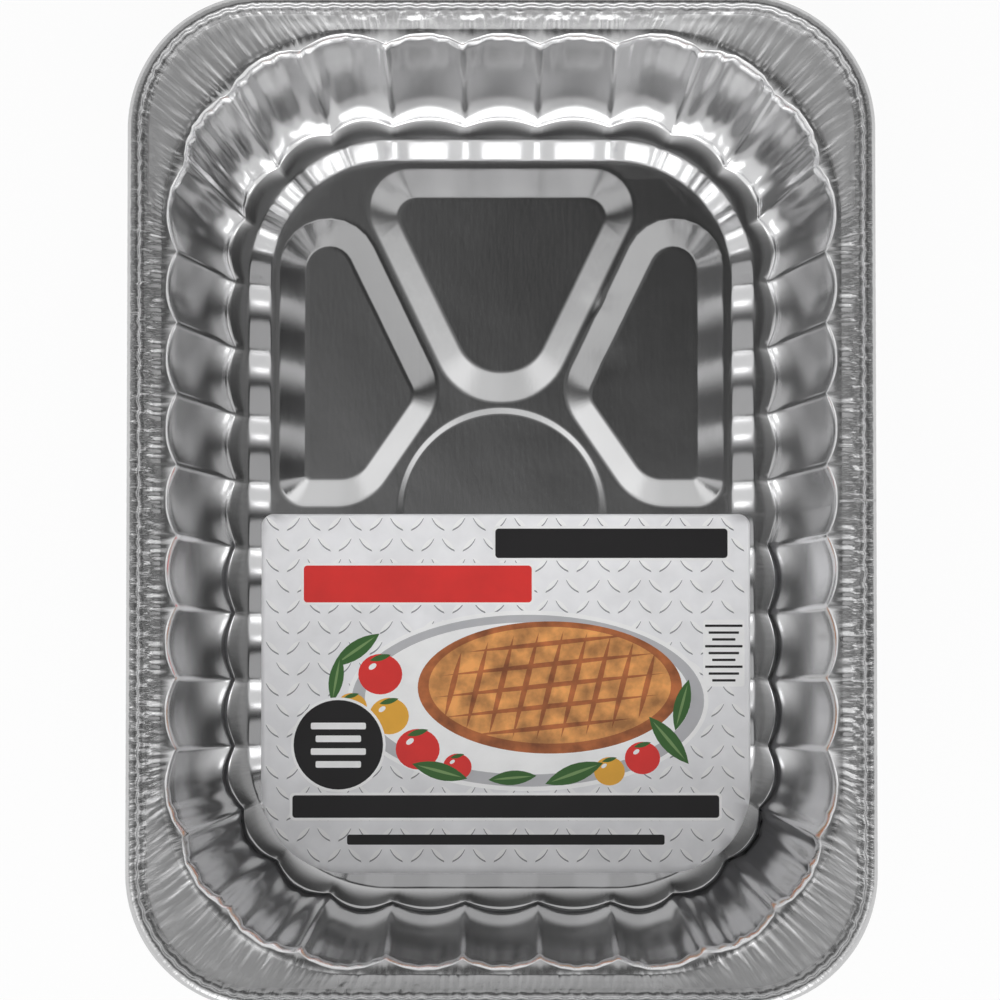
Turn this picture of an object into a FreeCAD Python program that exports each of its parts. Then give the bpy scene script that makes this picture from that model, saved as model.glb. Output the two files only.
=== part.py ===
import FreeCAD, Part
import math
import os

from FreeCAD import Vector

# An extra-deep roasting pan pressed from one sheet of aluminium foil, with a paper label laid on its floor.
# The origin is under the middle of the pan, on the surface that it stands on. +X runs across the pan,
# +Y along it, and +Z up. All sizes are in millimetres.

# Overall size, as printed on the label
length = 435.0
width = 321.0
height = 102.0
foil = 0.3

# Rolled rim: the sheet rises over a bead and curls under it
rim_corner_radius = 58.0
bead_width = 8.0
bead_rise = 3.2
bead_outer_radius = 3.8
curl_lower_radius = 3.0
curl_end_radius = 2.4
groove_width = 1.2

# Flange between the bead and the wall, gathered into pleats round the corners
flange_width = 16.0
land_drop = 5.0
land_width = 1.0
pleat_depth = 2.0
corner_pleats = 20

# Fluted wall: flutes bulge outward and meet in sharp inward ridges
shoulder_corner_radius = 82.0
foot_corner_radius = 70.0
side_wall_lean = 18.0
end_wall_lean = 19.3
corner_reach = 110.8
long_side_flutes = 7
short_side_flutes = 3
corner_flutes = 4
flute_depth_top = 5.0
flute_depth_foot = 4.2

# Foot ring that the pan stands on, and the panel raised inside it
foot_ring_width = 11.1
panel_slope_width = 10.0
panel_rise = 6.0
panel_corner_radius = 54.5

# Raised islands in the panel: two wedges on the long axis, and one side island in each quarter.
# Their pattern is drawn for a panel of the width and length given here, and stretched to the pan's own panel.
pattern_width = 210.8
pattern_length = 322.2
island_rise = 3.5
island_margin = 4.0
island_corner_facets = 5
wedge_side_reach = 4.0
wedge_end_slope = 13.8
wedge_side_slope = 11.1
wedge_tip_slope = 12.1
wedge_tip_ratio = 0.95
wedge_end_radii = (18.4, 8.9)
side_gap = 6.0
side_reach = 0.45
side_apex_inset = 49.2
side_waist_angle = 34.6
side_wall_slope = 12.7
side_gap_slope = 10.9
side_waist_slope = 9.9
side_diagonal_slope = 12.5
side_apex_radii = (22.65, 10.35)
side_elbow_radii = (24.0, 9.0)
side_heel_radii = (27.0, 15.0)
side_corner_radii = (12.3, 2.5)

# Sunk disc in the middle of the panel
disc_radius = 47.2
disc_wedge_clearance = 3.5
disc_waist_clearance = 4.8
disc_step = 1.8
disc_depth = 1.0

# Paper label
label_width = 222.0
label_length = 163.0
label_side_shift = 2.0
label_top_edge = -1.2
label_top_radius = 5.5
label_bottom_radius = 39.0
label_thickness = 0.25

# Heights that follow from the sizes above
land_z = height - land_drop
groove_z = height - bead_rise
panel_z = foil + panel_rise
island_z = panel_z + island_rise

# Outlines are rounded rectangles: half width, half length and corner radius
rim = (width / 2, length / 2, rim_corner_radius)
shoulder = (width / 2 - flange_width, length / 2 - flange_width, shoulder_corner_radius)
foot = (shoulder[0] - side_wall_lean, shoulder[1] - end_wall_lean, foot_corner_radius)
panel_inset = foot_ring_width + panel_slope_width
panel = (foot[0] - panel_inset, foot[1] - panel_inset, panel_corner_radius)
pattern_stretch = (2 * panel[0] / pattern_width, 2 * panel[1] / pattern_length)


def grown(outline, distance):
    return tuple(size + distance for size in outline)


def point_on(outline, distance):
    """Point and outward normal this far along the outline from +X, within the first quarter."""
    half_x, half_y, radius = outline
    side = half_y - radius
    arc = radius * math.pi / 2
    if distance <= side:
        return Vector(half_x, distance, 0), Vector(1, 0, 0)
    if distance >= side + arc:
        return Vector(half_x - radius - (distance - side - arc), half_y, 0), Vector(0, 1, 0)
    turn = (distance - side) / radius
    normal = Vector(math.cos(turn), math.sin(turn), 0)
    return Vector(half_x - radius, side, 0) + normal * radius, normal


def quarter_length(outline):
    half_x, half_y, radius = outline
    return half_x + half_y - 2 * radius + radius * math.pi / 2


def stations(outline, side_end, corner_end, counts):
    """Points and normals along a quarter of an outline, evenly spaced in each of its three stretches."""
    stops = (0, side_end, corner_end, quarter_length(outline))
    distances = [0]
    for start, end, count in zip(stops, stops[1:], counts):
        distances += [start + (end - start) * (i + 1) / count for i in range(count)]
    return [point_on(outline, distance) for distance in distances]


def mirrored_round(quarter):
    """Carries the points of the first quarter round the pan, as a closed run."""
    whole = []
    for flip_x, flip_y in ((1, 1), (-1, 1), (-1, -1), (1, -1)):
        run = [Vector(p.x * flip_x, p.y * flip_y, p.z) for p in quarter]
        if flip_x * flip_y < 0:
            run.reverse()
        whole += run[:-1]
    return whole


def line(start, end):
    return Part.LineSegment(start, end).toShape()


def polygon(points):
    return Part.Face(Part.makePolygon(points + points[:1]))


def closed_lines(points):
    return [line(a, b) for a, b in zip(points, points[1:] + points[:1])]


def flat_face(*outlines):
    """A flat face from its outer edges and the edges of its holes."""
    return Part.makeFace([Part.Wire(edges) for edges in outlines], "Part::FaceMakerBullseye")


def lowered(shapes, distance):
    made = [shape.copy() for shape in shapes]
    for shape in made:
        shape.translate(Vector(0, 0, -distance))
    return made


def rectangle_edges(outline, z):
    """Four straight sides and four quarter arcs."""
    half_x, half_y, radius = outline
    edges = []
    for quarter in range(4):
        across, along = (half_x, half_y) if quarter % 2 == 0 else (half_y, half_x)
        centre = Vector(across - radius, along - radius, z)
        bend = Vector(1, 1, 0).normalize() * radius
        start, end = Vector(across, centre.y, z), Vector(centre.x, along, z)
        side = line(Vector(across, -centre.y, z), start)
        corner = Part.Arc(start, centre + bend, end).toShape()
        for edge in (side, corner):
            edge.rotate(Vector(0, 0, 0), Vector(0, 0, 1), 90 * quarter)
            edges.append(edge)
    return edges


def carried_round(section, outline):
    """Carries a section round a rounded rectangle. In the section, x is the distance in from the outline."""
    half_x, half_y, radius = outline
    faces = []
    for quarter in range(4):
        across, along = (half_x, half_y) if quarter % 2 == 0 else (half_y, half_x)
        straight = along - radius
        for edge in section:
            placed = edge.copy()
            placed.rotate(Vector(0, 0, 0), Vector(0, 0, 1), 180)
            placed.translate(Vector(across, -straight, 0))
            side = placed.extrude(Vector(0, 2 * straight, 0))
            placed.translate(Vector(0, 2 * straight, 0))
            corner = placed.revolve(Vector(across - radius, straight, 0), Vector(0, 0, 1), 90)
            for face in (side, corner):
                face.rotate(Vector(0, 0, 0), Vector(0, 0, 1), 90 * quarter)
                faces.append(face)
    return faces


def bead_points(skin):
    """Points along the rim's section, from the groove over the bead and round its curl, this deep in the sheet."""
    rise_radius = ((bead_width - bead_outer_radius) ** 2 + bead_rise**2) / (2 * bead_rise)
    rise_turn = math.degrees(math.acos((rise_radius - bead_rise - skin) / (rise_radius - skin)))
    side_z = height - bead_outer_radius
    end_z = side_z - curl_lower_radius + curl_end_radius
    bends = [
        (bead_outer_radius, height - rise_radius, rise_radius, 90 + rise_turn, 90, 2),
        (bead_outer_radius, side_z, bead_outer_radius, 90, 0, 3),
        (curl_lower_radius, side_z, curl_lower_radius, 0, -90, 2),
        (curl_lower_radius, end_z, curl_end_radius, -90, -180, 2),
    ]
    points = []
    for centre_x, centre_z, radius, start, end, steps in bends:
        for i in range(steps + 1):
            angle = math.radians(start + (end - start) * i / steps)
            inner = radius - skin
            points.append(Vector(centre_x - inner * math.cos(angle), 0, centre_z + inner * math.sin(angle)))
    return [p for i, p in enumerate(points) if i == 0 or p.distanceToPoint(points[i - 1]) > 0.001]


def bead():
    """Both skins of the rolled bead with the sheet's cut edge, and the groove's outline on each skin."""
    runs = [bead_points(skin) for skin in (0, foil)]
    section = [line(a, b) for run in runs for a, b in zip(run, run[1:])]
    section.append(line(runs[0][-1], runs[1][-1]))
    return carried_round(section, rim), [(grown(rim, -run[0].x), run[0].z) for run in runs]


def pleats(drop):
    """The flange, gathered into folds round each corner, with its inner and outer outlines."""
    land = grown(shoulder, land_width)
    groove = grown(rim, -bead_width - groove_width)
    corner_start = shoulder[1] - shoulder[2]
    corner_rest = shoulder[0] - shoulder[2]
    rows = []
    for outline, z in ((land, land_z), (groove, groove_z)):
        corner_end = quarter_length(outline) - corner_rest
        marks = stations(outline, corner_start, corner_end, (1, 2 * corner_pleats, 1))
        rows.append([point + Vector(0, 0, z - drop) for point, normal in marks])
    crease = [(low + high) / 2 for low, high in zip(*rows)]
    for i in range(2, 2 * corner_pleats + 1):
        crease[i].z += pleat_depth / 2 if i % 2 == 0 else -pleat_depth / 2
    inner, crease, outer = [mirrored_round(row) for row in (rows[0], crease, rows[1])]
    faces, valleys = [], []
    for quarter in range(4):
        first = quarter * (2 * corner_pleats + 2) + 1
        last = first + 2 * corner_pleats
        valleys += range(first, last + 1, 2)
        for i in range(first, last, 2):
            peak = crease[i + 1]
            for a, b in ((inner[i + 2], inner[i]), (inner[i], crease[i]), (crease[i + 2], inner[i + 2])):
                faces.append(polygon([a, b, peak]))
            for a, b in ((outer[i], outer[i + 2]), (crease[i], outer[i]), (outer[i + 2], crease[i + 2])):
                faces.append(polygon([a, b, peak]))
        far = (last + 2) % len(inner)
        faces.append(polygon([inner[last], crease[last], outer[last], outer[far], crease[far], inner[far]]))
    return faces, closed_lines([inner[i] for i in valleys]), closed_lines([outer[i] for i in valleys])


def corner_stop(straight, radius, reach):
    """Distance along an outline from the middle of a side to the first corner ridge."""
    if reach <= straight:
        return reach
    return straight + radius * math.asin((reach - straight) / radius)


def flute_edges(outline, z, depth, skin):
    """Curves that bulge out to the outline and meet in ridges this deep, moved outward by the sheet's thickness."""
    half_x, half_y, radius = outline
    reach_x, reach_y = rim[0] - corner_reach, rim[1] - corner_reach
    side_end = corner_stop(half_y - radius, radius, reach_y)
    corner_end = quarter_length(outline) - corner_stop(half_x - radius, radius, reach_x)
    ridge_skin = skin / math.cos(2 * math.atan(depth * long_side_flutes / reach_y))
    quarter = []
    marks = stations(outline, side_end, corner_end, (long_side_flutes, 2 * corner_flutes, short_side_flutes))
    for i, (point, normal) in enumerate(marks):
        is_ridge = (i - long_side_flutes) % 2 == 0
        quarter.append(point + normal * (ridge_skin - depth if is_ridge else skin) + Vector(0, 0, z))
    first_ridge = long_side_flutes % 2
    points = mirrored_round(quarter)
    points = points[first_ridge:] + points[: first_ridge + 1]
    edges = []
    for start, crest, end in zip(points[::2], points[1::2], points[2::2]):
        curve = Part.BezierCurve()
        curve.setPoles([start, crest * 2 - (start + end) / 2, end])
        edges.append(curve.toShape())
    return edges


def wall(skin):
    """One skin of the fluted wall, in a lower and an upper band, with its foot and shoulder edges."""
    halfway = tuple((low + high) / 2 for low, high in zip(foot, shoulder))
    middle_depth = (flute_depth_foot + flute_depth_top) / 2
    foot_edges = flute_edges(foot, foil - skin, flute_depth_foot, skin)
    middle_edges = flute_edges(halfway, (foil + land_z) / 2 - skin, middle_depth, skin)
    shoulder_edges = flute_edges(shoulder, land_z - skin, flute_depth_top, skin)
    faces = [Part.makeRuledSurface(low, high) for low, high in zip(foot_edges, middle_edges)]
    faces += [Part.makeRuledSurface(low, high) for low, high in zip(middle_edges, shoulder_edges)]
    return faces, foot_edges, shoulder_edges


def island(sides, slopes, radii):
    """A raised island from its sides, as (outward angle, distance from the pan's middle): foot outline and faces."""
    foot_points = rounded_corners(sides, [pair[0] for pair in radii], panel_z)
    top_sides = [(angle, distance - slope) for (angle, distance), slope in zip(sides, slopes)]
    top_points = rounded_corners(top_sides, [pair[1] for pair in radii], island_z)
    faces = [polygon(top_points)]
    for i, (foot_point, top_point) in enumerate(zip(foot_points, top_points)):
        faces.append(polygon([foot_points[i - 1], foot_point, top_point, top_points[i - 1]]))
    return closed_lines(foot_points), faces


def rounded_corners(sides, radii, z):
    """Points round a convex shape of the pattern, with each corner rounded in short facets."""
    points = []
    for i, (angle, distance) in enumerate(sides):
        next_angle, next_distance = sides[(i + 1) % len(sides)]
        centre = crossing(angle, distance - radii[i], next_angle, next_distance - radii[i])
        turn = (next_angle - angle) % 360
        for step in range(island_corner_facets + 1):
            bearing = math.radians(angle + turn * step / island_corner_facets)
            point = centre + Vector(math.cos(bearing), math.sin(bearing), 0) * radii[i]
            points.append(Vector(point.x * pattern_stretch[0], point.y * pattern_stretch[1], z))
    return points


def crossing(angle, distance, next_angle, next_distance):
    """Where two lines cross, each given by the bearing of its normal and its distance from the pan's middle."""
    a, b = math.radians(angle), math.radians(next_angle)
    x = distance * math.sin(b) - next_distance * math.sin(a)
    y = next_distance * math.cos(a) - distance * math.cos(b)
    return Vector(x, y, 0) / math.sin(b - a)


def mirrored(shapes, plane_normal):
    return [shape.mirror(Vector(0, 0, 0), plane_normal) for shape in shapes]


def diagonal_lean():
    """Lean of the islands' diagonal sides, so that the side island's apex keeps its place in the panel's corner."""
    radius = side_apex_radii[0]
    across = -(pattern_width / 2 - island_margin - radius)
    along = pattern_length / 2 - side_apex_inset
    turn = math.acos((side_reach - radius) / math.hypot(across, along))
    return math.degrees(math.atan2(along, across) - turn)


def wedge_tip_radius(lean, reach, tip_distance):
    """Radius of the wedge's tip corners, which take up nearly the whole width of its tip."""
    tip = crossing(180 + lean, -reach, 270, -tip_distance)
    return wedge_tip_ratio * abs(tip.x) / math.tan(math.radians(90 - lean) / 2)


def islands():
    """All raised islands: the outline that each leaves in the panel, and their faces."""
    lean = diagonal_lean()
    tip_distance = disc_radius + disc_wedge_clearance
    wedge_tip_radii = (
        wedge_tip_radius(lean, wedge_side_reach, tip_distance),
        wedge_tip_radius(lean, wedge_side_reach + wedge_side_slope, tip_distance + wedge_tip_slope),
    )
    wedge_outline, wedge_faces = island(
        [
            (90, pattern_length / 2 - island_margin),
            (180 + lean, -wedge_side_reach),
            (270, -tip_distance),
            (360 - lean, -wedge_side_reach),
        ],
        (wedge_end_slope, wedge_side_slope, wedge_tip_slope, wedge_side_slope),
        (wedge_end_radii, wedge_tip_radii, wedge_tip_radii, wedge_end_radii),
    )
    side_outline, side_faces = island(
        [
            (180, pattern_width / 2 - island_margin),
            (270, -side_gap / 2),
            (360 - side_waist_angle, -disc_radius - disc_waist_clearance),
            (360 + lean, side_reach),
        ],
        (side_wall_slope, side_gap_slope, side_waist_slope, side_diagonal_slope),
        (side_corner_radii, side_heel_radii, side_elbow_radii, side_apex_radii),
    )
    across, along = Vector(1, 0, 0), Vector(0, 1, 0)
    outlines = [wedge_outline, side_outline, mirrored(side_outline, across)]
    outlines += [mirrored(outline, along) for outline in outlines]
    faces = wedge_faces + side_faces + mirrored(side_faces, across)
    return outlines, faces + mirrored(faces, along)


def floor():
    """The raised panel with its islands and disc, and the slope from its edge down to the foot ring."""
    outlines, faces = islands()
    radius = disc_radius * min(pattern_stretch)
    disc_edge = Part.makeCircle(radius, Vector(0, 0, panel_z))
    disc_foot = Part.makeCircle(radius - disc_step, Vector(0, 0, panel_z - disc_depth))
    step = line(Vector(radius, 0, panel_z), Vector(radius - disc_step, 0, panel_z - disc_depth))
    faces.append(step.revolve(Vector(0, 0, 0), Vector(0, 0, 1), 360))
    faces.append(flat_face([disc_foot]))
    faces.append(flat_face(rectangle_edges(panel, panel_z), [disc_edge], *outlines))
    slope_foot = grown(panel, panel_slope_width)
    slope = line(Vector(0, 0, foil), Vector(panel_slope_width, 0, panel_z))
    return faces + carried_round([slope], slope_foot), slope_foot


def pan():
    floor_faces, slope_foot = floor()
    bead_faces, grooves = bead()
    faces = floor_faces + lowered(floor_faces, foil) + bead_faces
    for skin, (groove, groove_height) in zip((0, foil), grooves):
        wall_faces, foot_edges, shoulder_edges = wall(skin)
        faces += wall_faces
        faces.append(flat_face(foot_edges, rectangle_edges(slope_foot, foil - skin)))
        pleat_faces, land_edges, groove_edges = pleats(skin)
        faces += pleat_faces
        faces.append(flat_face(land_edges, shoulder_edges))
        faces.append(flat_face(rectangle_edges(groove, groove_z - skin), groove_edges))
    return closed_solid(faces)


def closed_solid(faces):
    sheet = Part.Compound(faces)
    sheet.sewShape(0.0001)
    solid = Part.Solid(sheet.Shells[0])
    if solid.Volume < 0:
        solid.reverse()
    return solid


def label():
    """A paper sheet with small corners at the pan's middle and large ones at its end, flat on the islands."""
    left, right = label_side_shift - label_width / 2, label_side_shift + label_width / 2
    end = label_top_edge - label_length
    sheet = Part.makeBox(
        label_width, label_length, label_thickness, Vector(left, end, island_z)
    )
    for y, radius in ((label_top_edge, label_top_radius), (end, label_bottom_radius)):
        corners = [
            edge
            for edge in sheet.Edges
            if abs(edge.BoundBox.ZLength - label_thickness) < 0.001 and abs(edge.BoundBox.YMin - y) < 0.001
        ]
        sheet = sheet.makeFillet(radius, corners)
    return sheet


os.makedirs("parts", exist_ok=True)
for name, shape in {"pan": pan(), "label": label()}.items():
    shape.exportStep(f"parts/{name}.step")
    print(name, "volume", round(shape.Volume), "solids", len(shape.Solids), "valid", shape.isValid())
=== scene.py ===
import math

import bpy
import numpy as np
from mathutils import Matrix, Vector, geometry, noise


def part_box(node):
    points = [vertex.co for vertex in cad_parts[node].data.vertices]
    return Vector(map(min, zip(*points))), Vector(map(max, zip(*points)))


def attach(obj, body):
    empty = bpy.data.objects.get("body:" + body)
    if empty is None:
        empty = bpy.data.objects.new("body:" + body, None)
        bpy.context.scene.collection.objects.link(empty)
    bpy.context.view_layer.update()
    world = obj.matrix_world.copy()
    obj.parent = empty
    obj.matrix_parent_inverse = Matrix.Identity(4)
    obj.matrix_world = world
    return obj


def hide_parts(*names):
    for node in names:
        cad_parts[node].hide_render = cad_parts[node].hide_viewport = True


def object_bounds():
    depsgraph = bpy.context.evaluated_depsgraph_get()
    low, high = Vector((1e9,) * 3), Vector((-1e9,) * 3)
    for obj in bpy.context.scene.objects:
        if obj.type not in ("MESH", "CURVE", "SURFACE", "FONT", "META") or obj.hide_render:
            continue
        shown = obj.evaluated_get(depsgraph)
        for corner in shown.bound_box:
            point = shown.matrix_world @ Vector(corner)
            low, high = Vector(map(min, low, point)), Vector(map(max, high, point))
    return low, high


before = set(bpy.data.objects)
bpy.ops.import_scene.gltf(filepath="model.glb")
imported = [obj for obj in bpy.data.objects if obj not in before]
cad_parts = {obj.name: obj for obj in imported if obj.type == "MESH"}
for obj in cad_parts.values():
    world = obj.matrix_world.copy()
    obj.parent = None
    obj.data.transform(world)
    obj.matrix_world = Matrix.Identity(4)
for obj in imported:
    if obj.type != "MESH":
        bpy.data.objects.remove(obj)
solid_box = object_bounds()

# The pan's sheet. The real one is a single piece of soft aluminium foil, pressed between two dies. Its wall
# is folded into flutes to take up the spare metal, its flange is gathered into creases, and its edge is
# rolled under into a bead. Sizes are in millimetres, and the mesh is in metres.
mm = 0.001
foil = 0.3
top_z = solid_box[1].z / mm
groove_z = top_z - 3.2
land_z = top_z - 5.0
lip_z = land_z - 7.0
panel_z = foil + 6.0
island_z = panel_z + 3.5

# Outlines at the rim, the mouth, the wall's foot and the floor panel: half width, half length, corner radius
rim = (solid_box[1].x / mm, solid_box[1].y / mm, 58.0)
shoulder = (rim[0] - 16.0, rim[1] - 16.0, 82.0)
foot = (shoulder[0] - 18.0, shoulder[1] - 19.3, 70.0)
panel = (foot[0] - 21.1, foot[1] - 21.1, 54.5)

# Where the corners' flutes begin, measured from the pan's axes
ridge_reach = (rim[0] - 110.8, rim[1] - 110.8)

# Steps of the mesh along half a long side, a corner and half a short side, with the flutes in each
wall_steps = (56, 88, 24)
rim_steps = tuple(2 * count for count in wall_steps)
flutes = (3.5, 4, 1.5)


def grown(outline, distance):
    """An outline moved out all round by this distance, or in where it is negative."""
    return tuple(size + distance for size in outline)


def round_the_pan(quarter):
    """Mirrors what holds for a quarter of the pan to the other three, in one closed turn."""
    turns = []
    for flip_x, flip_y in ((1, 1), (-1, 1), (-1, -1), (1, -1)):
        run = quarter * (flip_x, flip_y)
        turns.append(run[:-1] if flip_x * flip_y > 0 else run[:0:-1])
    return np.concatenate(turns)


def way_round(outline, steps):
    """Points and outward normals all the way round a rounded rectangle. Steps keep pace with the flutes."""
    half_x, half_y, radius = outline
    straight_x, straight_y = half_x - radius, half_y - radius
    quarter = straight_x + straight_y + radius * math.pi / 2

    def stop(straight, reach):
        if reach <= straight:
            return reach
        return straight + radius * math.asin((reach - straight) / radius)

    first = stop(straight_y, ridge_reach[1])
    last = quarter - stop(straight_x, ridge_reach[0])
    distance = np.concatenate(
        [
            np.linspace(0, first, steps[0], endpoint=False),
            np.linspace(first, last, steps[1], endpoint=False),
            np.linspace(last, quarter, steps[2] + 1),
        ]
    )
    turn = np.clip((distance - straight_y) / radius, 0, math.pi / 2)
    normal = np.stack([np.cos(turn), np.sin(turn)], 1)
    beyond = np.maximum(distance - straight_y - radius * math.pi / 2, 0)
    x = straight_x + radius * normal[:, 0] - beyond
    y = np.minimum(distance, straight_y) + radius * normal[:, 1]
    return round_the_pan(np.stack([x, y], 1)), round_the_pan(normal)


def flute_phase(steps):
    """How far through its flute each step is: 0 and 1 at the ridges, and a half at the crest."""
    first = 0.5 + np.arange(steps[0]) * flutes[0] / steps[0]
    corner = np.arange(steps[1]) * flutes[1] / steps[1]
    last = np.arange(steps[2] + 1) * flutes[2] / steps[2]
    phase = np.concatenate([first, corner, last]) % 1
    return np.concatenate([phase[:-1], phase[:0:-1], phase[:-1], phase[:0:-1]])


def fold_places(length, spacing, rng):
    """Places along a closed run, each a random distance on from the last, from the least to the most."""
    places = np.cumsum(rng.uniform(*spacing, int(2 * length / sum(spacing)) + 8))
    return places[places < length - spacing[0]]


def creases(length, spacing, seed):
    """Heights along a closed run of folds, from 0 down to -1, at random distances from each other."""
    rng = np.random.default_rng(seed)
    places = fold_places(length, spacing, rng)
    heights = np.where(np.arange(len(places)) % 2 == 0, -1.0, 0.0)
    heights += rng.uniform(-0.35, 0.35, len(places))
    return lambda where: np.interp(where % length, places, np.clip(heights, -1, 0), period=length)


def pleats(length, spacing, half_width, seed):
    """Heights along a closed run that is flat but for narrow folds, pressed down at random distances."""
    rng = np.random.default_rng(seed)
    places = fold_places(length, spacing, rng)
    depths = rng.uniform(0.35, 1.0, len(places))
    bends = np.stack([places - half_width, places, places + half_width], 1).ravel()
    heights = np.stack([0 * depths, -depths, 0 * depths], 1).ravel()
    return lambda where: np.interp(where % length, bends, heights, period=length)


# The rim's length, and how much each step of it belongs to a corner, an end or a side of the pan
rim_path, rim_normal = way_round(rim, rim_steps)
rim_gap = np.linalg.norm(np.roll(rim_path, -1, 0) - rim_path, axis=1)
rim_length = rim_gap.sum()
along = np.concatenate([[0], np.cumsum(rim_gap)[:-1]])
shoulder_normal = way_round(shoulder, rim_steps)[1]
at_corner = np.clip(1.5 * np.abs(2 * shoulder_normal[:, 0] * shoulder_normal[:, 1]), 0, 1)
at_end = np.abs(shoulder_normal[:, 1]) ** 2
at_side = (1 - at_end) * (1 - at_corner)

# Folds of the gathered metal: on the bead, in the groove, on the flange and down the wall
bead_folds = creases(rim_length, (1.4, 3.4), 11)
bead_dents = creases(rim_length, (1.6, 5.0), 12)
outer_folds = creases(rim_length, (1.5, 3.2), 13)
side_folds = creases(rim_length, (1.2, 2.5), 14)
corner_folds = creases(rim_length, (3.0, 7.0), 15)
corner_pleats = pleats(rim_length, (2.2, 6.2), 0.95, 16)
wall_folds = creases(rim_length, (4.0, 9.5), 17)
wall_wrinkles = creases(rim_length, (2.4, 5.5), 18)
gathers = creases(rim_length, (6.0, 15.0), 19)
crowded = np.clip(1.3 + 1.4 * gathers(along), 0.15, 1)
specks = np.random.default_rng(21)

rows = []


def add_row(path, z, crumple_and_shade, dull):
    """One row of the sheet: its points, how finely crumpled and how darkened by painted shade, and how dull
    the foil is there.
    """
    z = np.broadcast_to(z, len(path))
    rows.append((np.column_stack([path, z]), np.broadcast_to(crumple_and_shade, len(path)), dull))


def arc(centre, radius, start, end, steps):
    angles = np.radians(np.linspace(start, end, steps))
    return [(centre[0] - radius * math.cos(a), centre[1] + radius * math.sin(a)) for a in angles]


# Rolled bead, from its cut edge under the rim, round the outside and over the crown to the groove
curl_radius, side_radius, crown_radius = 2.4, 3.0, 3.8
crown_inset, trough_inset, groove_inset, flange_inset = 5.0, 6.0, 8.8, 9.7
side_z = top_z - crown_radius
bead = arc((side_radius, side_z - side_radius + curl_radius), curl_radius, -180, -90, 2)
bead += arc((side_radius, side_z), side_radius, -90, 0, 3)[1:]
bead += arc((crown_radius, side_z), crown_radius, 0, 90, 4)[1:]
for inset, drop in ((4.8, 0.1), (5.2, 0.5), (5.6, 1.3), (6.1, 1.9), (7.0, 1.85), (7.9, 2.2)):
    bead.append((inset, top_z - drop))
for i, (inset, z) in enumerate(bead):
    path = way_round(grown(rim, -inset), rim_steps)[0]
    raised = max(0.0, (z - side_z) / crown_radius)
    dent = 0.3 * bead_folds(along + 1.1 * inset) + 0.34 * bead_dents(along + 53.0 * i)
    if inset < crown_inset:
        dent = dent * (0.25 + 0.75 * at_side)
        drift = 0.12 * dent * (1 - raised)
    else:
        speck_size = 0.3 if inset > trough_inset else 0.1
        dent = 0.5 * dent + speck_size * specks.uniform(-1, 1, len(along))
        drift = 0.5 + 0.9 * bead_dents(along)
    add_row(path + rim_normal * drift[:, None], np.minimum(z + dent * raised, top_z - 0.05), 0.6, 0.4)
groove_path = way_round(grown(rim, -groove_inset), rim_steps)[0]
groove_rise = 0.6 + 0.3 * outer_folds(along) + specks.uniform(-0.3, 0.3, len(along))
add_row(groove_path, groove_z + groove_rise, 0.7, 0.4)

# Gathered flange, from the groove in to the land round the mouth
flange_z = groove_z + 0.35
fold_depth = 0.85
land_width = 0.9
outer_path = way_round(grown(rim, -flange_inset), rim_steps)[0]
land_path = way_round(grown(shoulder, land_width), rim_steps)[0]
for share in (0.0, 0.16, 0.34, 0.5, 0.68, 0.86):
    where = along + 2.2 * share
    outer_part = max(0.0, 1 - share / 0.4)
    inner_part = min(1.0, share / 0.15) * (1 - share**8)
    pleat_part = min(1.0, max(0.0, (share - 0.3) / 0.2))
    rise = outer_part * (0.35 * outer_folds(along + share) + specks.uniform(-0.2, 0.2, len(along)))
    side_rise = fold_depth * crowded * side_folds(along + 0.6 * gathers(along) * share)
    corner_rise = fold_depth * corner_pleats(where) + 0.45 * corner_folds(where)
    rise = rise + inner_part * (1 - at_corner) * side_rise + pleat_part * at_corner * corner_rise
    z = flange_z + (land_z - flange_z) * share
    dull = 0.35 + at_corner * (1.0 - 0.5 * share)
    add_row(outer_path + (land_path - outer_path) * share, z + rise, 0.6 - 0.45 * share, dull)
end_dips = 0.3 * crowded * (1 - at_corner) * side_folds(along)
add_row(land_path, land_z + end_dips + 0.7 * at_corner * corner_pleats(along + 2.2), 0.2, 0.4)

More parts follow.
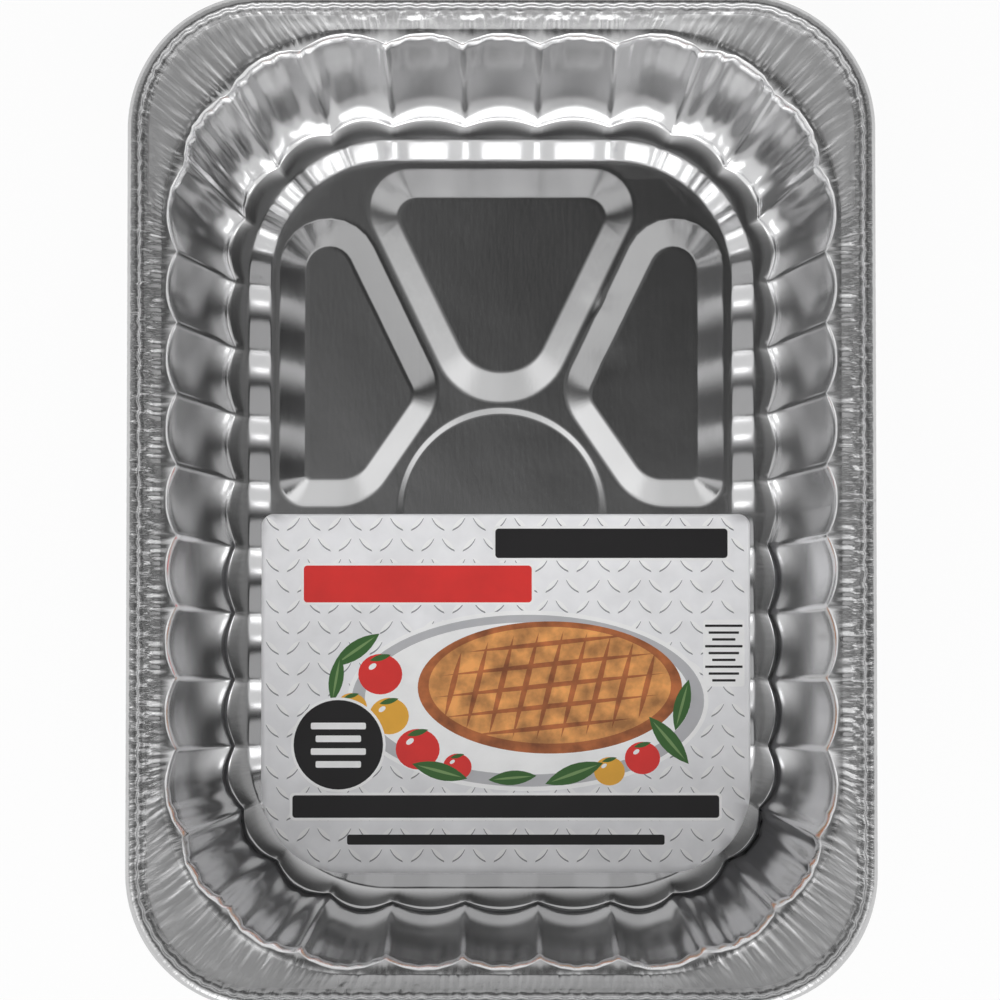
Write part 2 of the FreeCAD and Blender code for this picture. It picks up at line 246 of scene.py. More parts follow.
# Fluted wall, from the lip round the mouth down to the toe, with the creases pressed into its corners
phase = flute_phase(wall_steps)
bulge = 4 * phase * (1 - phase) - 1
wall_along, wall_corner, wall_end = along[::2], at_corner[::2], at_end[::2]
height_range = land_z - foil
foot_depth, mouth_gain, corner_loss = 4.2, 0.8, 1.2
for z, set_in in (
    (land_z + 0.4, 0.0),
    (land_z + 0.15, 0.55),
    (land_z - 0.5, 1.1),
    (land_z - 1.8, 1.3),
    (lip_z - 1.0, 0.5),
    (80.0, 0.0),
    (68.0, 0.0),
    (54.0, 0.0),
    (40.0, 0.0),
    (26.0, 0.0),
    (13.0, 0.0),
    (5.0, 0.0),
    (2.2, 0.25),
    (foil + 0.5, 1.1),
    (foil, 2.6),
):
    share = min(1.0, max(0.0, (z - foil) / height_range))
    outline = tuple(low + (high - low) * share for low, high in zip(foot, shoulder))
    path, normal = way_round(outline, wall_steps)
    depth = foot_depth + mouth_gain * share - corner_loss * share * wall_corner
    top_share = max(0.0, (share - 0.45) / 0.55)
    clear = min(1.0, (z - foil) / 8.0) * (1 if z < land_z - 1 else 0.4)
    corner_wrinkle = 1.3 * wall_folds(wall_along + 0.05 * z) + 1.1 * top_share * wall_wrinkles(wall_along)
    end_wrinkle = top_share * wall_wrinkles(wall_along + 0.03 * z)
    wrinkle = wall_corner * corner_wrinkle + wall_end * (1 - wall_corner) * end_wrinkle
    set_out = depth * bulge - set_in * (0.35 + 0.65 * (1 + bulge)) + clear * (wrinkle + 0.3 * wall_corner)
    wall_crumple_and_shade = 0.02 + 0.05 * wall_corner * share
    wall_dullness = 0.1 if z < lip_z else 0.35
    add_row(path + normal * set_out[:, None], max(z, foil), wall_crumple_and_shade, wall_dullness)

# Foot ring that the pan stands on, and the slope from it up to the panel, as shares of its width and height
slope_width = 10.0
foot_profile = ((-0.06, 0), (0, 0.02), (0.07, 0.08), (0.5, 0.5), (0.93, 0.92), (1, 0.98), (1.05, 1))
for share, rise in foot_profile:
    path = way_round(grown(panel, slope_width * (1 - share)), wall_steps)[0]
    add_row(path, foil + (panel_z - foil) * rise, 0.04, 0.0)

# Faces from each row to the next. Between the flange and the wall, two steps of a row meet one of the next.
points = [np.concatenate([row[0] for row in rows])]
crumple_and_shade = [np.concatenate([np.array(row[1]) for row in rows])]
dullness = [np.concatenate([np.full(len(row[0]), row[2]) for row in rows])]
starts = np.concatenate([[0], np.cumsum([len(row[0]) for row in rows])])
faces = []
for i in range(len(rows) - 1):
    count, inner_count = len(rows[i][0]), len(rows[i + 1][0])
    for j in range(inner_count):
        k = (j + 1) % inner_count
        a, b = starts[i + 1] + j, starts[i + 1] + k
        if count == inner_count:
            faces.append((starts[i] + j, starts[i] + k, b, a))
        else:
            c, d, e = (starts[i] + (2 * j + step) % count for step in range(3))
            faces += [(c, d, a), (d, b, a), (d, e, b)]

# Floor panel inside the slope. Two wedges lie on the long axis, a side island in each quarter, and a sunk
# disc in the middle. All are pressed into the same sheet, so their edges are soft.
mesh_step = 6.0


def round_run(centre, radius, bearings):
    """Points of a round stretch at these bearings."""
    return np.array(centre) + radius * np.stack([np.cos(bearings), np.sin(bearings)], 1)


def crossing(angle, distance, next_angle, next_distance):
    """Where two straight sides meet. Each is given by the way it faces and its distance from the middle."""
    a, b = math.radians(angle), math.radians(next_angle)
    x = distance * math.sin(b) - next_distance * math.sin(a)
    y = next_distance * math.cos(a) - distance * math.cos(b)
    return np.array([x, y]) / math.sin(b - a)


def island_outline(sides, slopes, radii, share):
    """Outline of an island this far up its sloped sides, as points with rounded corners."""
    found = []
    sides = [(angle, distance - slope * share) for (angle, distance), slope in zip(sides, slopes)]
    for i, (angle, distance) in enumerate(sides):
        next_angle, next_distance = sides[(i + 1) % len(sides)]
        radius = radii[i][0] + (radii[i][1] - radii[i][0]) * share
        centre = crossing(angle, distance - radius, next_angle, next_distance - radius)
        turn = (next_angle - angle) % 360
        bearings = np.radians(np.linspace(angle, angle + turn, 11))
        found.append(round_run(centre, radius, bearings))
    found = np.concatenate(found)
    spread = []
    for start, end in zip(found, np.roll(found, -1, 0)):
        pieces = max(1, int(np.linalg.norm(end - start) / mesh_step))
        spread.append(start + (end - start) * np.arange(pieces)[:, None] / pieces)
    return np.concatenate(spread)


# Each island has its sides, as a bearing and a distance, the widths of the slopes on them, and the radii of
# its corners at the bottom and at the top of the slopes
wedge = (
    ((90, panel[1] - 4.0), (205.8, -4.0), (270, -50.7), (334.2, -4.0)),
    (13.8, 11.1, 12.1, 11.1),
    ((18.4, 8.9), (30.4, 20.6), (30.4, 20.6), (18.4, 8.9)),
)
side_island = (
    ((180, panel[0] - 4.0), (270, -3.0), (325.4, -52.0), (385.8, 0.45)),
    (12.7, 10.9, 9.9, 12.5),
    ((12.3, 2.5), (27.0, 15.0), (24.0, 9.0), (22.65, 10.35)),
)
slope_foot = ((-0.13, 0), (-0.05, 0), (0.02, 0.03), (0.08, 0.09))
slope_top = ((0.92, 0.91), (0.98, 0.97), (1.05, 1), (1.13, 1))
slope_profile = slope_foot + slope_top
disc_depth = 1.0
disc_profile = ((48.4, 0), (47.7, 0), (47.1, 0.06), (45.5, 0.94), (44.9, 1), (44.1, 1))
edge_start = starts[len(rows) - 1]
edge_ids = list(range(edge_start, edge_start + len(rows[-1][0])))
flat = [tuple(point[:2]) for point in rows[-1][0]]
heights = [panel_z] * len(flat)
rings = [list(range(len(flat)))]
inside, outside = [], []
for shape, flips in (
    (wedge, ((1, 1), (1, -1))),
    (side_island, ((1, 1), (-1, 1), (1, -1), (-1, -1))),
):
    for flip in flips:
        for share, rise in slope_profile:
            outline = island_outline(*shape, share) * flip
            rings.append(list(range(len(flat), len(flat) + len(outline))))
            flat += [tuple(point) for point in outline]
            heights += [panel_z + (island_z - panel_z) * rise] * len(outline)
            if share == slope_profile[0][0]:
                outside.append(outline)
        inside.append(outline)
for radius, drop in disc_profile:
    outline = round_run((0, 0), radius, np.linspace(0, 2 * math.pi, 97)[:-1])
    rings.append(list(range(len(flat), len(flat) + len(outline))))
    flat += [tuple(point) for point in outline]
    heights += [panel_z - disc_depth * drop] * len(outline)


def within(point, outline):
    """Whether a point lies inside an outline, by counting the crossings to one side of it."""
    x, y = outline[:, 0], outline[:, 1]
    next_x, next_y = np.roll(x, -1), np.roll(y, -1)
    spans = (y > point[1]) != (next_y > point[1])
    reach = x + (point[1] - y) * (next_x - x) / np.where(next_y == y, 1, next_y - y)
    return np.count_nonzero(spans & (point[0] < reach)) % 2 == 1


# Points over the panel, the islands and the disc, a little out of line and clear of the slopes
inner_edge = rows[-1][0][:, :2] * 0.985
grid_x, grid_y = 102, 159
disc_band = (disc_profile[-1][0] - 0.8, disc_profile[0][0] + 0.8)
for x in np.arange(-grid_x, grid_x + 1, mesh_step):
    for y in np.arange(-grid_y, grid_y + 1, mesh_step):
        point = (x + 0.6 * math.sin(y), y + 0.6 * math.cos(x))
        reach = math.hypot(*point)
        if not within(point, inner_edge) or disc_band[0] < reach < disc_band[1]:
            continue
        if any(within(point, outline) for outline in inside):
            height = island_z
        elif any(within(point, outline) for outline in outside):
            continue
        else:
            height = panel_z - disc_depth if reach < disc_band[1] else panel_z
        flat.append(point)
        heights.append(height)

# The flat points joined into faces and lifted to their heights, with a faint ripple and two small dents
dents = ((45.5, 92.5, 3.4, 0.9), (50.8, 67.9, 3.0, 0.5))
spots = [Vector(point) for point in flat]
spots, _, floor_faces, floor_origins, _, _ = geometry.delaunay_2d_cdt(spots, [], rings, 1, 1e-6)
new_ids, floor_points = [], []
for point, origins in zip(spots, floor_origins):
    origin = origins[0] if origins else None
    if origin is not None and origin < len(edge_ids):
        new_ids.append(edge_ids[origin])
        continue
    x, y = point
    broad_ripple = 0.1 * noise.noise(Vector((x / 34, y / 34, 3.0)))
    fine_ripple = 0.05 * noise.noise(Vector((x / 11, y / 11, 7.0)))
    from_edge = min(1.0, (panel[0] - abs(x)) / 6, (panel[1] - abs(y)) / 6)
    z = heights[origin] if origin is not None else panel_z
    for dent_x, dent_y, reach, depth in dents:
        z -= depth * math.exp(-((x - dent_x) ** 2 + (y - dent_y) ** 2) / reach**2)
    new_ids.append(len(points[0]) + len(floor_points))
    floor_points.append((x, y, z + (broad_ripple + fine_ripple) * max(0.0, from_edge)))
faces += [tuple(new_ids[v] for v in face) for face in floor_faces]
points.append(np.array(floor_points))
crumple_and_shade.append(np.full(len(floor_points), 0.04))
dullness.append(np.zeros(len(floor_points)))
points = np.concatenate(points) * mm

sheet_mesh = bpy.data.meshes.new("foil_sheet")
sheet_mesh.from_pydata(points.tolist(), [], [tuple(int(v) for v in face) for face in faces])
sheet_mesh.update()
for name, shares in (("crumple_and_shade", crumple_and_shade), ("dullness", dullness)):
    shares = np.concatenate(shares).astype(np.float32)
    sheet_mesh.attributes.new(name, "FLOAT", "POINT").data.foreach_set("value", shares)

# Lengths along and across the sheet, for creases that run square to the rim
across = np.zeros(len(points))
lengthwise = np.zeros(len(points))
travelled = 0.0
for i, (row, _, _) in enumerate(rows):
    if i:
        step = rows[i - 1][0][:: len(rows[i - 1][0]) // len(row)] - row
        travelled += float(np.median(np.linalg.norm(step, axis=1)))
    across[starts[i] : starts[i + 1]] = travelled
    lengthwise[starts[i] : starts[i + 1]] = along[:: len(along) // len(row)]
floor_from = starts[-1]
across[floor_from:] = points[floor_from:, 1] / mm
lengthwise[floor_from:] = points[floor_from:, 0] / mm
uv_layer = sheet_mesh.uv_layers.new(name="along_and_across")
corner_points = np.zeros(len(sheet_mesh.loops), np.int32)
sheet_mesh.loops.foreach_get("vertex_index", corner_points)
uv = np.stack([lengthwise[corner_points], across[corner_points]], 1) * mm
uv_layer.data.foreach_set("uv", uv.astype(np.float32).ravel())
sheet_mesh.polygons.foreach_set("use_smooth", np.ones(len(sheet_mesh.polygons), bool))


def new_object(name, data):
    placed = bpy.data.objects.new(name, data)
    bpy.context.scene.collection.objects.link(placed)
    return placed


def thicken(sheet, thickness):
    """Gives a surface its thickness, below and behind it."""
    modifier = sheet.modifiers.new("thickness", "SOLIDIFY")
    modifier.thickness = thickness * mm
    modifier.offset = -1


pan_sheet = new_object("foil_pan", sheet_mesh)
thicken(pan_sheet, foil)


def new_material(name):
    material = bpy.data.materials.new(name)
    material.use_nodes = True
    nodes, links = material.node_tree.nodes, material.node_tree.links
    return material, nodes, links, nodes["Principled BSDF"]


def noise_node(nodes, scale, detail):
    node = nodes.new("ShaderNodeTexNoise")
    node.inputs["Scale"].default_value = scale
    node.inputs["Detail"].default_value = detail
    return node


def range_node(nodes, start, end):
    """Turns 0 to 1 into start to end."""
    node = nodes.new("ShaderNodeMapRange")
    node.inputs["To Min"].default_value = start
    node.inputs["To Max"].default_value = end
    return node


def two_shades(nodes, first, second):
    """Turns a noise into a mix of two colours."""
    node = nodes.new("ShaderNodeValToRGB")
    for element, position, colour in zip(node.color_ramp.elements, (0.3, 0.7), (first, second)):
        element.position = position
        element.color = (*colour, 1)
    return node


# Bright rolled aluminium: faint lines from the mill, soft stains, and crumpling where the die gathered it,
# darkened there by painted shade
foil_metal, nodes, links, shader = new_material("bright_foil")
shader.inputs["Metallic"].default_value = 1.0
place = nodes.new("ShaderNodeTexCoord")
uv_node = nodes.new("ShaderNodeUVMap")
uv_node.uv_map = "along_and_across"
how_dull = nodes.new("ShaderNodeAttribute")
how_dull.attribute_name = "dullness"
how_crumpled_and_shaded = nodes.new("ShaderNodeAttribute")
how_crumpled_and_shaded.attribute_name = "crumple_and_shade"

# Roughness, from the mill's lines and from how dull the foil is
mill = nodes.new("ShaderNodeMapping")
mill.inputs["Scale"].default_value = (900, 18, 18)
mill_lines = noise_node(nodes, 1.0, 3.0)
mill_roughness = range_node(nodes, 0.1, 0.15)
rougher = nodes.new("ShaderNodeMath")
rougher.operation = "MULTIPLY_ADD"
rougher.inputs[1].default_value = 0.3
links.new(place.outputs["Object"], mill.inputs["Vector"])
links.new(mill.outputs["Vector"], mill_lines.inputs["Vector"])
links.new(mill_lines.outputs["Fac"], mill_roughness.inputs["Value"])
links.new(how_dull.outputs["Fac"], rougher.inputs[0])
links.new(mill_roughness.outputs["Result"], rougher.inputs[2])
links.new(rougher.outputs["Value"], shader.inputs["Roughness"])

# Colour, from the stains, with painted shade that darkens the crumpled parts, where the folds would shade
# each other
stains = noise_node(nodes, 28.0, 4.0)
tint = two_shades(nodes, (0.79, 0.79, 0.795), (0.86, 0.86, 0.865))
# Painted shade: the more crumpled the foil, the darker its colour is painted, down to half
shaded = range_node(nodes, 1.0, 0.5)
less_light = nodes.new("ShaderNodeVectorMath")
less_light.operation = "SCALE"
links.new(place.outputs["Object"], stains.inputs["Vector"])
links.new(stains.outputs["Fac"], tint.inputs["Fac"])
links.new(how_crumpled_and_shaded.outputs["Fac"], shaded.inputs["Value"])
links.new(tint.outputs["Color"], less_light.inputs[0])
links.new(shaded.outputs["Result"], less_light.inputs["Scale"])
links.new(less_light.outputs["Vector"], shader.inputs["Base Color"])

# Fine crumpling square to the rim
crumple_scale = nodes.new("ShaderNodeMapping")
crumple_scale.inputs["Scale"].default_value = (450, 140, 1)
crumple = noise_node(nodes, 1.0, 3.0)
height = nodes.new("ShaderNodeMath")
height.operation = "MULTIPLY"
bump = nodes.new("ShaderNodeBump")
bump.inputs["Strength"].default_value = 0.8
bump.inputs["Distance"].default_value = 0.0007
links.new(uv_node.outputs["UV"], crumple_scale.inputs["Vector"])
links.new(crumple_scale.outputs["Vector"], crumple.inputs["Vector"])
links.new(crumple.outputs["Fac"], height.inputs[0])
links.new(how_crumpled_and_shaded.outputs["Fac"], height.inputs[1])
links.new(height.outputs["Value"], bump.inputs["Height"])
links.new(bump.outputs["Normal"], shader.inputs["Normal"])
sheet_mesh.materials.append(foil_metal)
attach(pan_sheet, "root")
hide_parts("pan")

# The label. The real one is a sheet of coated paper, printed in colour, that lies on the floor's islands.
# Its picture here is a plain table scene of this maker's own, on a common pattern of chequered floor plate.
label_low, label_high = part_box("label")
left, right = label_low.x / mm, label_high.x / mm
end, start = label_low.y / mm, label_high.y / mm
label_z = label_high.z / mm
paper_thickness = label_z - label_low.z / mm
inks = {
    "plate_paper": (0.9, 0.9, 0.92),
    "plate_light": (1.0, 1.0, 1.0),
    "plate_shade": (0.26, 0.26, 0.28),
    "white_ink": (0.95, 0.95, 0.95),
    "dark_ink": (0.012, 0.011, 0.012),
    "red_ink": (0.78, 0.02, 0.015),
    "crust_ink": (0.42, 0.12, 0.03),
    "crust_light": (0.72, 0.3, 0.08),
    "yellow_ink": (0.85, 0.42, 0.03),
    "leaf_ink": (0.045, 0.15, 0.03),
    "leaf_light": (0.2, 0.34, 0.12),
    "board_ink": (0.5, 0.5, 0.52),
}
ink_order = list(inks)
prints = []


def turned(shape, x, y, turn):
    """A shape turned by this angle in degrees and moved to its place."""
    c, s = math.cos(math.radians(turn)), math.sin(math.radians(turn))
    return np.stack([x + shape[:, 0] * c - shape[:, 1] * s, y + shape[:, 0] * s + shape[:, 1] * c], 1)


def oval(x, y, half_long, half_short, turn=0.0, points=28):
    angles = np.linspace(0, 2 * math.pi, points, endpoint=False)
    return turned(np.stack([half_long * np.cos(angles), half_short * np.sin(angles)], 1), x, y, turn)


def lens(x, y, half_long, half_short, turn):
    """A pointed stroke, as on floor plate and as a leaf."""
    t = np.linspace(-1, 1, 9)
    upper = np.stack([half_long * t, half_short * (1 - t**2)], 1)
    lower = upper[::-1][1:-1] * (1, -1)
    return turned(np.concatenate([upper, lower])[::-1], x, y, turn)


def rounded_box(low_x, low_y, high_x, high_y, radii, steps):
    """A box with a radius for each corner, from the upper right one round by the left."""
    corners = []
    for quarter, radius in enumerate(radii):
        centre_x = low_x + radius if quarter in (1, 2) else high_x - radius
        centre_y = low_y + radius if quarter in (2, 3) else high_y - radius
        bearings = np.radians(np.linspace(0, 90, steps) + 90 * quarter)
        corners.append(round_run((centre_x, centre_y), radius, bearings))
    return np.concatenate(corners)


def bar(x, y, half_long, half_short, radius):
    return rounded_box(x - half_long, y - half_short, x + half_long, y + half_short, (radius,) * 4, 7)


def print_shape(ink, outline):
    prints.append((ink, outline))


# The sheet, with small corners on its straight end, and the strokes of the floor plate, each with its shade
square_corner, wide_corner = 5.5, 39.0
corner_radii = (square_corner, square_corner, wide_corner, wide_corner)
sheet_outline = rounded_box(left, end, right, start, corner_radii, 15)
print_shape("plate_paper", sheet_outline)
pitch = 9.4
shade_drop = 0.7
for row in range(18):
    for column in range(25):
        x = left + 5 + column * pitch - (pitch / 2 if row % 2 else 0)
        y = start - 4 - row * pitch
        stroke = lens(x, y, 4.2, 0.95, 45 if (row + column) % 2 else -45)
        shade = stroke - (0, shade_drop)
        if all(within(point, sheet_outline) for point in (*shade[::4], *stroke[::4])):
            print_shape("plate_shade", shade)
            print_shape("plate_light", stroke)

# Printed picture: a pie with a lattice of crust, on an oval board with a white edge
board_x, board_y = 12, -86
pie_x, pie_y = 22, -79
strip_gap_x, strip_gap_y = 11, 9.5
print_shape("white_ink", oval(board_x, board_y, 82, 41, 0, 90))
print_shape("board_ink", oval(board_x, board_y, 80, 39, 0, 90))
print_shape("white_ink", oval(board_x, board_y + 1, 74, 34.5, 0, 90))
print_shape("crust_ink", oval(pie_x, pie_y - 1, 60, 30, 0, 90))
print_shape("crust_light", oval(pie_x, pie_y, 55, 26.5, 0, 90))
for k in range(-4, 5):
    reach = 25.5 * math.sqrt(max(0.0, 1 - (k * strip_gap_x / 55.5) ** 2))
    print_shape("crust_ink", lens(pie_x + k * strip_gap_x, pie_y, reach, 1.3, 76))
for k in range(-2, 3):
    reach = 53 * math.sqrt(max(0.0, 1 - (k * strip_gap_y / 27) ** 2))
    print_shape("crust_ink", lens(pie_x, pie_y + k * strip_gap_y, reach, 1.1, 6))

# Round vegetables with a glint and a stalk each, and leaves with a pale vein
for x, y, size, ink in (
    (-55, -74, 10, "red_ink"),
    (-51, -93, 9, "yellow_ink"),
    (-38, -108, 10, "red_ink"),
    (-68, -89, 7, "yellow_ink"),
    (-20, -116, 6.5, "red_ink"),
    (64, -112, 8, "red_ink"),
    (49, -118, 7, "yellow_ink"),
):
    print_shape(ink, oval(x, y, size, size * 0.92))
    print_shape("white_ink", oval(x - size * 0.35, y + size * 0.35, size * 0.2, size * 0.12, 35, 12))
    print_shape("leaf_ink", lens(x, y + size * 0.75, size * 0.5, size * 0.14, 15))
for x, y, size, turn in (
    (-66, -63, 13, 35),
    (-75, -76, 11, 80),
    (-28, -118, 13, -15),
    (33, -119, 14, 20),
    (76, -104, 14, -50),
    (82, -88, 12, 75),
    (5, -121, 11, 5),
):
    print_shape("leaf_ink", lens(x, y, size, size * 0.3, turn))
    print_shape("leaf_light", lens(x, y, size * 0.8, size * 0.05, turn))

# Printed blocks of colour: bars, a disc with four lines on it, and a column of small lines
for ink, x, y, half_long, half_short, radius in (
    ("white_ink", 50, -14.5, 54, 7.9, 2.5),
    ("dark_ink", 50, -14.5, 52.8, 6.7, 1.6),
    ("white_ink", -38, -33, 53, 9.6, 2.5),
    ("red_ink", -38, -33, 51.8, 8.4, 1.6),
    ("white_ink", 2, -134, 98, 6.3, 2.2),
    ("dark_ink", 2, -134, 96.8, 5.1, 1.4),
    ("dark_ink", 2, -149, 72, 2.3, 1.0),
):
    print_shape(ink, bar(x, y, half_long, half_short, radius))
disc_x, disc_y = -74, -106
print_shape("white_ink", oval(disc_x, disc_y, 21.5, 21.5, 0, 48))
print_shape("dark_ink", oval(disc_x, disc_y, 20.3, 20.3, 0, 48))
for k in range(4):
    print_shape("white_ink", bar(disc_x, disc_y + 8.5 - 5.8 * k, 12.5 - 2.2 * (k % 2), 1.5, 0.7))
column_x = 101
print_shape("white_ink", bar(column_x, -64.4, 9.4, 15.2, 1.5))
for k in range(9):
    print_shape("dark_ink", bar(column_x, -52 - 3.1 * k, 8.5 - 1.6 * (k % 3), 0.55, 0.25))

# All prints joined into one surface, a little wavy, where each face has the ink that was printed last there
paper_step = 7.0
flat, outlines = [], []
for ink, outline in prints:
    outlines.append(list(range(len(flat), len(flat) + len(outline))))
    flat += [Vector(point) for point in outline]
for x in np.arange(left + 4, right, paper_step):
    for y in np.arange(end + 4, start, paper_step):
        if within((x, y), sheet_outline):
            flat.append(Vector((x, y)))
spots, _, label_faces, _, _, face_origins = geometry.delaunay_2d_cdt(flat, [], outlines, 1, 1e-5)
label_points = []
for x, y in spots:
    lift = 0.1 + 0.1 * noise.noise(Vector((x / 45, y / 45, 1.0)))
    label_points.append((x * mm, y * mm, (label_z + lift) * mm))
label_mesh = bpy.data.meshes.new("printed_sheet")
label_mesh.from_pydata(label_points, [], [tuple(face) for face in label_faces])
face_inks = []
for origins in face_origins:
    face_inks.append(ink_order.index(prints[max(origins)][0]) if origins else 0)


def ink_material(ink, colour):
    """Ink on coated paper, a little mottled. The crust is browned, and the plate has painted light, paler
    toward the far end and darker toward the near end.
    """
    material, nodes, links, shader = new_material(ink)
    shader.inputs["Roughness"].default_value = 0.42
    shader.inputs["Coat Weight"].default_value = 0.15
    shader.inputs["Coat Roughness"].default_value = 0.2
    place = nodes.new("ShaderNodeTexCoord")
    scale, spread = (120.0, 0.45) if ink.startswith("crust") else (60.0, 0.07)
    mottle = noise_node(nodes, scale, 5.0)
    darkest = tuple(c * (1 - spread) for c in colour)
    palest = tuple(min(1, c * (1 + spread)) for c in colour)
    shade = two_shades(nodes, darkest, palest)
    links.new(place.outputs["Object"], mottle.inputs["Vector"])
    links.new(mottle.outputs["Fac"], shade.inputs["Fac"])
    if not ink.startswith("plate"):
        links.new(shade.outputs["Color"], shader.inputs["Base Color"])
        return material
    lengthways = nodes.new("ShaderNodeSeparateXYZ")
    # Painted light: the plate's colour is scaled from 0.85 at its near end to 1.05 at its far end
    painted_light_lengthways = range_node(nodes, 0.85, 1.05)
    painted_light_lengthways.inputs["From Min"].default_value = end * mm
    painted_light_lengthways.inputs["From Max"].default_value = start * mm
    scaled = nodes.new("ShaderNodeVectorMath")
    scaled.operation = "SCALE"
    links.new(place.outputs["Object"], lengthways.inputs["Vector"])
    links.new(lengthways.outputs["Y"], painted_light_lengthways.inputs["Value"])
    links.new(shade.outputs["Color"], scaled.inputs[0])
    links.new(painted_light_lengthways.outputs["Result"], scaled.inputs["Scale"])
    links.new(scaled.outputs["Vector"], shader.inputs["Base Color"])
    return material


for ink, colour in inks.items():
    label_mesh.materials.append(ink_material(ink, colour))
label_mesh.polygons.foreach_set("material_index", face_inks)
label_mesh.polygons.foreach_set("use_smooth", np.ones(len(label_mesh.polygons), bool))
label_mesh.update()
label_sheet = new_object("paper_label", label_mesh)
thicken(label_sheet, paper_thickness)
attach(label_sheet, "root")
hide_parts("label")

# Floor and backdrop: a plain pale surface that the pan stands on, with a low pale wall all round it, far
# off. They are shown white to the camera, with the pan's shadow on the floor.
floor_reach = 4.0
backdrop_radius, backdrop_height, backdrop_sides = 3.9, 1.4, 64
corners = [(sx * floor_reach, sy * floor_reach, 0) for sx, sy in ((-1, -1), (1, -1), (1, 1), (-1, 1))]
floor_mesh = bpy.data.meshes.new("pale_floor")
floor_mesh.from_pydata(corners, [], [(0, 1, 2, 3)])
floor = new_object("pale_floor", floor_mesh)
pale, nodes, links, shader = new_material("pale_floor")
shader.inputs["Base Color"].default_value = (0.9, 0.9, 0.9, 1)
shader.inputs["Roughness"].default_value = 0.9
white = nodes.new("ShaderNodeEmission")
white.inputs["Color"].default_value = (1, 1, 1, 1)
seen = nodes.new("ShaderNodeLightPath")
seen_or_glossy = nodes.new("ShaderNodeMath")
seen_or_glossy.operation = "MAXIMUM"
seen_at_all = nodes.new("ShaderNodeMath")
seen_at_all.operation = "MAXIMUM"
share = nodes.new("ShaderNodeMath")
share.operation = "MULTIPLY"
share.inputs[1].default_value = 0.93
mix = nodes.new("ShaderNodeMixShader")
links.new(seen.outputs["Is Camera Ray"], seen_or_glossy.inputs[0])
links.new(seen.outputs["Is Glossy Ray"], seen_or_glossy.inputs[1])
links.new(seen_or_glossy.outputs["Value"], seen_at_all.inputs[0])
links.new(seen.outputs["Is Transmission Ray"], seen_at_all.inputs[1])
links.new(seen_at_all.outputs["Value"], share.inputs[0])
links.new(share.outputs["Value"], mix.inputs["Fac"])
links.new(shader.outputs["BSDF"], mix.inputs[1])
links.new(white.outputs["Emission"], mix.inputs[2])
links.new(mix.outputs["Shader"], nodes["Material Output"].inputs["Surface"])
floor_mesh.materials.append(pale)
turn = np.linspace(0, 2 * math.pi, backdrop_sides, endpoint=False)
ring = round_run((0, 0), backdrop_radius, turn)
low_ring = [(x, y, 0.0) for x, y in ring]
high_ring = [(x, y, backdrop_height) for x, y in ring]
around = [(i, (i + 1) % backdrop_sides) for i in range(backdrop_sides)]
backdrop_faces = [(i, backdrop_sides + i, backdrop_sides + j, j) for i, j in around]
backdrop_mesh = bpy.data.meshes.new("pale_backdrop")
backdrop_mesh.from_pydata(low_ring + high_ring, [], backdrop_faces)
backdrop_mesh.materials.append(pale)
backdrop = new_object("pale_backdrop", backdrop_mesh)

# Studio: a dark strip of ceiling right over the pan and out to its long sides, with pale reflectors toward
# both ends. A soft lamp is high at the near end, a small one at each side, and a fill lamp overhead that
# shows in no reflection.
world = bpy.data.worlds.new("studio")
bpy.context.scene.world = world
world.use_nodes = True
nodes, links = world.node_tree.nodes, world.node_tree.links
background = nodes["Background"]
toward = nodes.new("ShaderNodeTexCoord")
parts = nodes.new("ShaderNodeSeparateXYZ")
links.new(toward.outputs["Generated"], parts.inputs["Vector"])


def worked_out(operation, first, second=0):
    """What a sum on one or two values comes to. Each is a number or a socket."""
    node = nodes.new("ShaderNodeMath")
    node.operation = operation
    for socket, value in zip(node.inputs, (first, second)):
        if isinstance(value, (int, float)):
            socket.default_value = value
        else:
            links.new(value, socket)
    return node.outputs["Value"]


def soft_edge(value, start, end):
    """Light that changes smoothly between two places. Each is given by the value there and its light."""
    node = range_node(nodes, start[1], end[1])
    node.interpolation_type = "SMOOTHSTEP"
    node.inputs["From Min"].default_value = start[0]
    node.inputs["From Max"].default_value = end[0]
    links.new(value, node.inputs["Value"])
    return node.outputs["Result"]


# Each direction is measured by how far it leans toward the far end, toward the right and out from overhead
side, length, height = parts.outputs["X"], parts.outputs["Y"], parts.outputs["Z"]
up = worked_out("MAXIMUM", height, 0.02)
end_wise = worked_out("DIVIDE", length, up)
side_wise = worked_out("DIVIDE", side, up)
squares = worked_out("ADD", worked_out("POWER", end_wise, 2), worked_out("POWER", side_wise, 2))
out_wise = worked_out("SQRT", squares)
to_side = worked_out("ABSOLUTE", side_wise)
near_end = soft_edge(end_wise, (-0.33, 0.57), (0.14, 0.04))
near_sides = soft_edge(end_wise, (-0.34, 1), (-0.02, 0))
side_glow = worked_out("MULTIPLY", soft_edge(to_side, (0.2, 0), (0.42, 0.28)), near_sides)
left_sheen = soft_edge(side_wise, (-0.08, 0.06), (0.05, 0))
near_low = soft_edge(length, (-0.9, 0.75), (-0.62, 0))
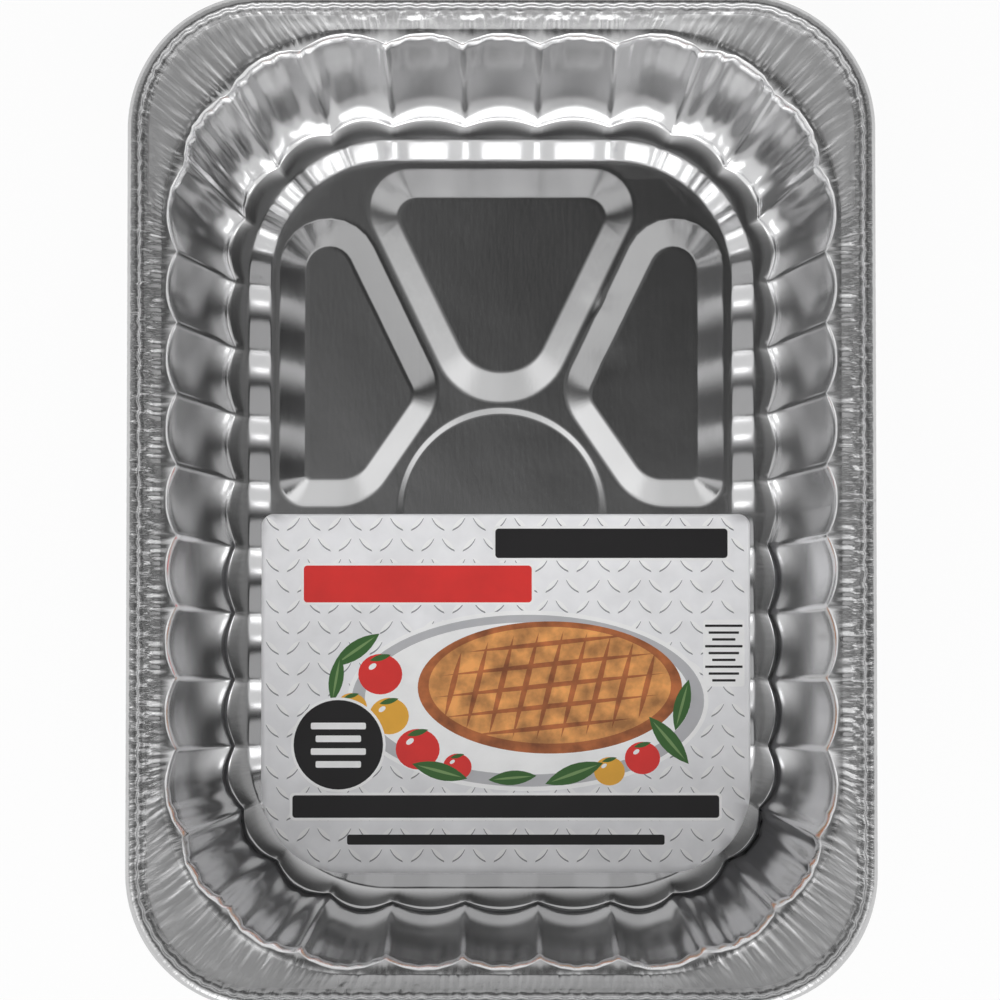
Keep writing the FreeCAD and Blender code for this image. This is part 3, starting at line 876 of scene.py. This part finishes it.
off_centre = soft_edge(out_wise, (0.42, 0), (0.62, 1))
far_end = worked_out("MULTIPLY", soft_edge(end_wise, (0.16, 0), (0.34, 0.42)), off_centre)
horizon = soft_edge(height, (0.05, 0.25), (0.4, 0))
reflectors = near_end
for light in (side_glow, left_sheen, near_low, far_end):
    reflectors = worked_out("ADD", reflectors, light)
links.new(worked_out("MAXIMUM", reflectors, horizon), background.inputs["Strength"])
background.inputs["Color"].default_value = (1, 1, 1, 1)


def soft_lamp(name, bearing, from_zenith, distance, size, brightness):
    """A rectangular lamp that points at the pan, as bright to look at as the number given."""
    lamp = bpy.data.lights.new(name, "AREA")
    lamp.shape = "RECTANGLE"
    lamp.size, lamp.size_y = size
    lamp.energy = brightness * math.pi * size[0] * size[1]
    placed = new_object(name, lamp)
    angle, tilt = math.radians(bearing), math.radians(from_zenith)
    away = Vector((math.cos(angle) * math.sin(tilt), math.sin(angle) * math.sin(tilt), math.cos(tilt)))
    placed.location = away * distance
    placed.rotation_mode = "QUATERNION"
    placed.rotation_quaternion = (-away).to_track_quat("-Z", "Y")
    return placed


lamp_distance = 2.2
side_size = (0.26, 0.6)
soft_lamp("near_lamp", 270, 50, lamp_distance, (2.2, 1.1), 1.25)
soft_lamp("left_lamp", 200, 46, lamp_distance, side_size, 1.7)
soft_lamp("right_lamp", 340, 46, lamp_distance, side_size, 1.4)
fill_lamp = soft_lamp("fill_lamp", 270, 8, lamp_distance, (1.6, 1.6), 1.1)
fill_lamp.visible_glossy = False

# Camera: high above the pan's label end and looking almost straight down, as such a product photograph is
# taken. Its place and lens put the pan where the photograph shows it.
camera_data = bpy.data.cameras.new("camera")
camera = new_object("camera", camera_data)
camera_data.lens = 118.1
camera_data.sensor_width = 36.0
camera_data.clip_start, camera_data.clip_end = 0.1, 20.0
camera_data.shift_y = 0.1
camera.location = (-0.00064, -0.0857, 1.5)
camera.rotation_euler = (math.radians(1.746), 0, 0)
bpy.context.scene.camera = camera
bpy.context.scene.view_settings.view_transform = "Standard"
